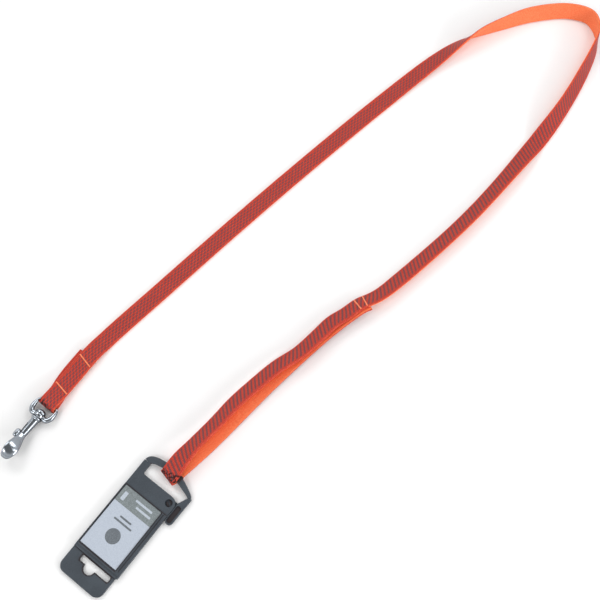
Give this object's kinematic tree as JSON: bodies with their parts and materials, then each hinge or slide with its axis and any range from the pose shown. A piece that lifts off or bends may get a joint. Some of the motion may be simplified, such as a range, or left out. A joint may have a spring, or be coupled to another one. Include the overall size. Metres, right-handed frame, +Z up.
{
  "type": "dog leash",
  "caption": "Flat webbing dog leash with a sewn hand loop, a swivel bolt snap and a plastic hanger card clipped through the loop.",
  "frame": {"origin": "on the ground plane, under the middle of the leash's bounding box as it lies", "axes": "+Z up from the ground the leash lies on; +X and +Y lie on the ground, and the leash runs from the snap at -X -Y to its bend at +X +Y"},
  "size_m": [0.5063, 0.5235, 0.0164],
  "materials": {
    "webbing": "woven, with a grip pattern on the front",
    "thread": "satin",
    "snap_metal": "polished plating",
    "bolt_steel": "satin",
    "card_plastic": "matte",
    "label": "satin"
  },
  "bodies": {
    "strap": {"webbing": "webbing", "snap_stitch_row_1": "thread", "snap_stitch_row_2": "thread", "loop_stitch_row_1": "thread", "loop_stitch_row_2": "thread"},
    "eye": {"swivel_eye": "snap_metal"},
    "snap": {"snap_body": "snap_metal", "swivel_rivet": "snap_metal", "bolt_spring": "bolt_steel"},
    "bolt": {"bolt": "bolt_steel", "thumb_knob": "snap_metal"},
    "card": {"card_body": "card_plastic", "label_insert": "label"},
    "arm": {"closure_arm": "card_plastic"},
    "latch": {"latch_flap": "card_plastic"}
  },
  "joints": [
    {"name": "eye_hinge", "type": "hinge", "parent": "strap", "child": "eye", "pos_m": [-0.2198, -0.1158, 0.0036], "axis": [-0.8141, 0.5807, 0], "range_deg": [0, 60]},
    {"name": "snap_swivel", "type": "hinge", "parent": "eye", "child": "snap", "pos_m": [-0.2198, -0.1158, 0.0036], "axis": [-0.5789, -0.8116, 0.0785], "continuous": true},
    {"name": "bolt_slide", "type": "slide", "parent": "snap", "child": "bolt", "axis": [0.5789, 0.8116, -0.0785], "range_m": [0, 0.0095], "stiffness_N_per_m": 300, "springref_m": -0.004, "deforming": ["bolt_spring"]},
    {"name": "card_swing", "type": "hinge", "parent": "strap", "child": "card", "pos_m": [-0.12068, -0.16765, 0.0044], "axis": [-0.7944, 0.6074, 0], "range_deg": [0, 12]},
    {"name": "arm_swing", "type": "hinge", "parent": "card", "child": "arm", "pos_m": [-0.13854, -0.16054, 0.0015], "axis": [0, 0, 1], "range_deg": [0, 6]},
    {"name": "latch_swing", "type": "hinge", "parent": "arm", "child": "latch", "pos_m": [-0.10541, -0.19015, 0.0017], "axis": [0, 0, 1], "range_deg": [0, 60]}
  ]
}
